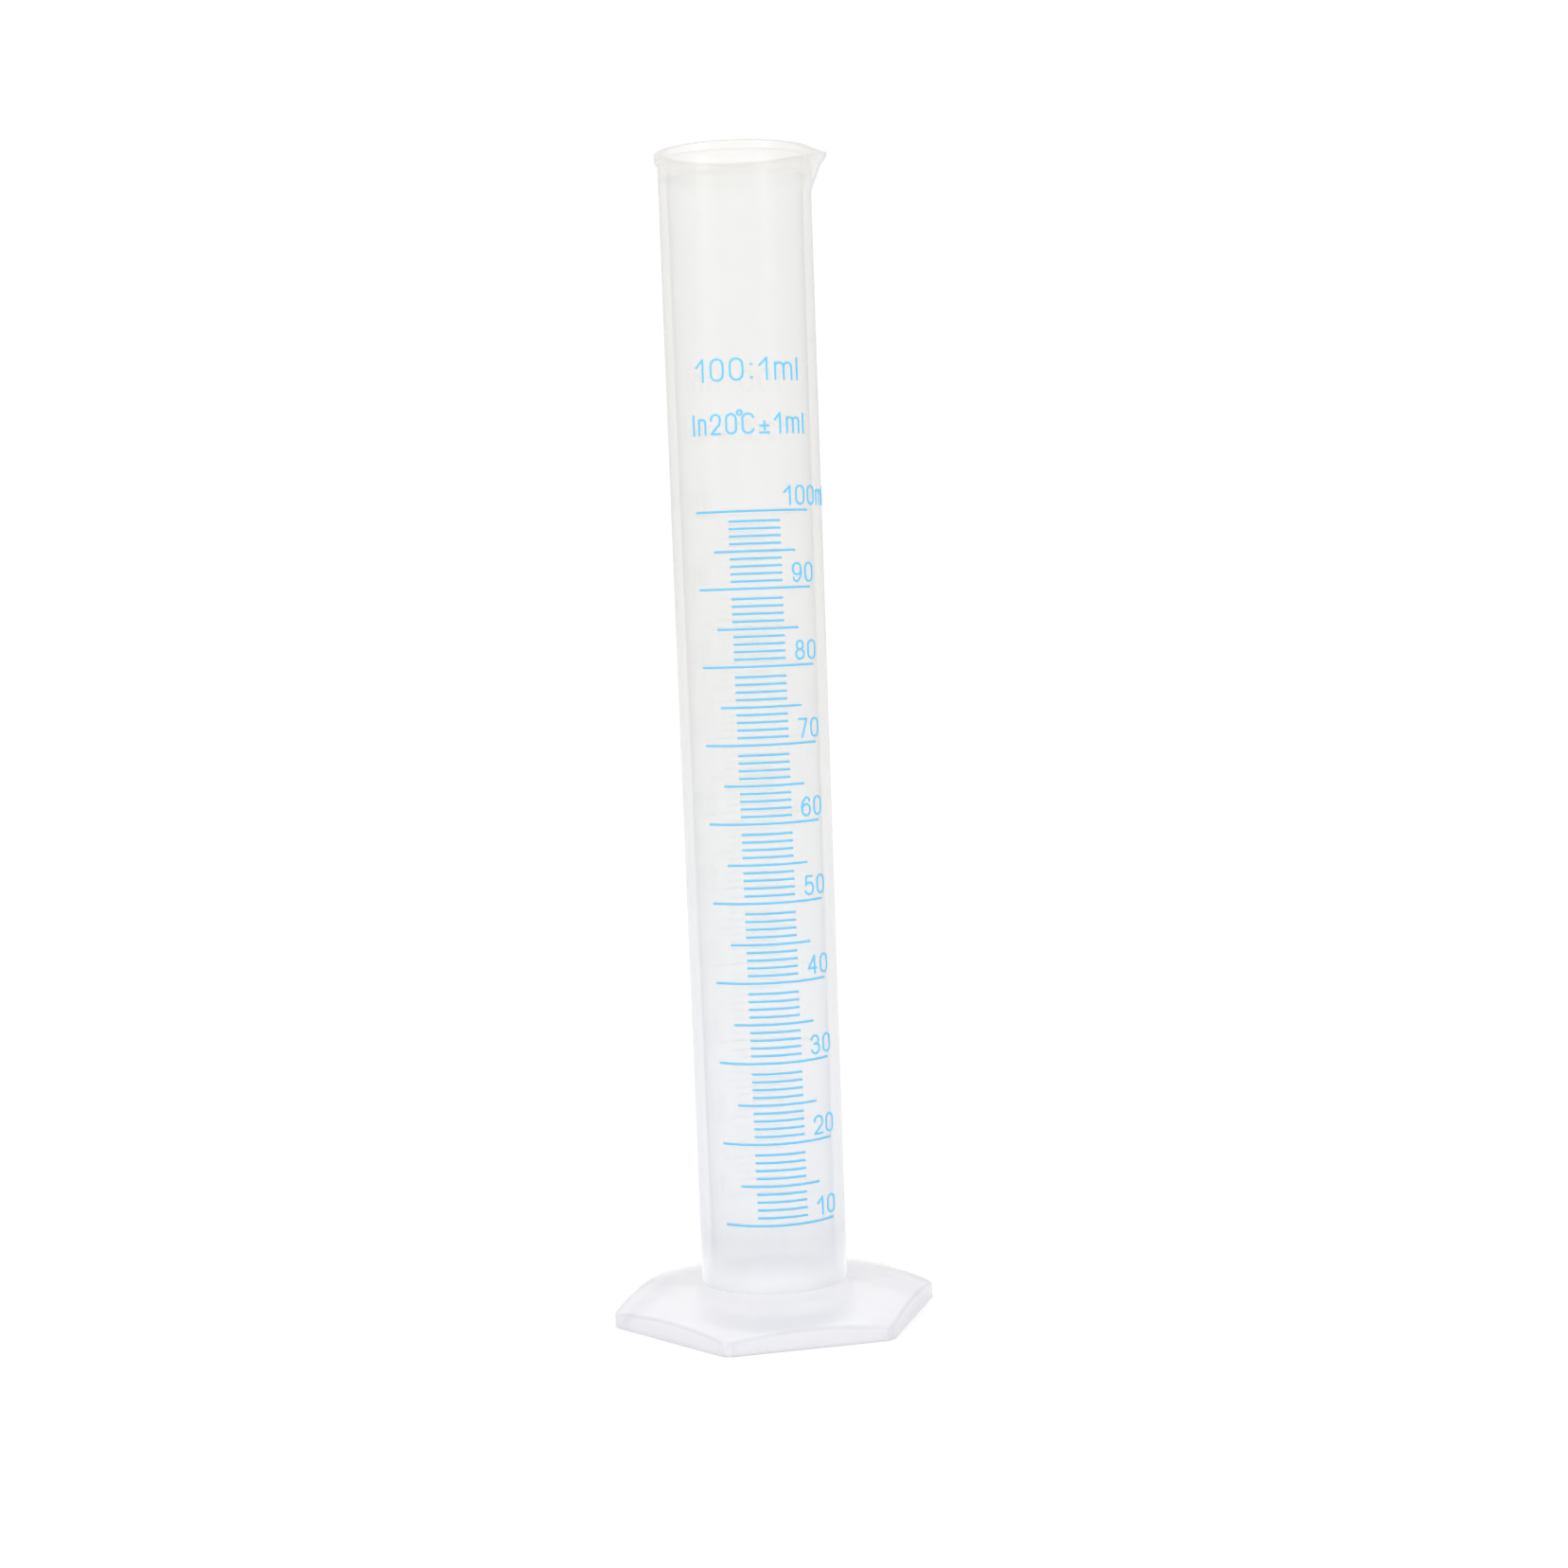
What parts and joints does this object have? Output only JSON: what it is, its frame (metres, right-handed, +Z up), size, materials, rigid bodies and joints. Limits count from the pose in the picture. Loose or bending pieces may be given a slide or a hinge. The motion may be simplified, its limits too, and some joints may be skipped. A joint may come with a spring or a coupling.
{
  "type": "graduated cylinder",
  "caption": "Tall translucent plastic measuring cylinder with a rim band, pouring spout, printed volume scale and a low domed hexagonal foot.",
  "frame": {"origin": "centre of the hexagonal foot on the table", "axes": "+Z up along the tube's axis, +X towards the pouring spout and one corner of the foot, the printed scale faces -Y"},
  "size_m": [0.0712, 0.0624, 0.25],
  "materials": {
    "tube_plastic": "milky translucent polypropylene, satin",
    "foot_plastic": "milky translucent polypropylene, satin",
    "blue_print": "light blue printed marks",
    "raised_marks": "uncoloured raised marks in the tube's own plastic"
  },
  "bodies": {
    "root": {"front_capacity_text": "blue_print", "front_five_ml_lines": "blue_print", "front_numeral_10": "blue_print", "front_numeral_100": "blue_print", "front_numeral_20": "blue_print", "front_numeral_30": "blue_print", "front_numeral_40": "blue_print", "front_numeral_50": "blue_print", "front_numeral_60": "blue_print", "front_numeral_70": "blue_print", "front_numeral_80": "blue_print", "front_numeral_90": "blue_print", "front_one_ml_lines": "blue_print", "front_ten_ml_lines": "blue_print", "front_tolerance_text": "blue_print", "front_unit_mark": "blue_print", "hexagonal_foot": "foot_plastic", "measuring_tube": "tube_plastic", "rear_capacity_text": "raised_marks", "rear_five_ml_lines": "raised_marks", "rear_numeral_10": "raised_marks", "rear_numeral_100": "raised_marks", "rear_numeral_20": "raised_marks", "rear_numeral_30": "raised_marks", "rear_numeral_40": "raised_marks", "rear_numeral_50": "raised_marks", "rear_numeral_60": "raised_marks", "rear_numeral_70": "raised_marks", "rear_numeral_80": "raised_marks", "rear_numeral_90": "raised_marks", "rear_one_ml_lines": "raised_marks", "rear_ten_ml_lines": "raised_marks", "rear_tolerance_text": "raised_marks", "rear_unit_mark": "raised_marks"}
  },
  "joints": []
}
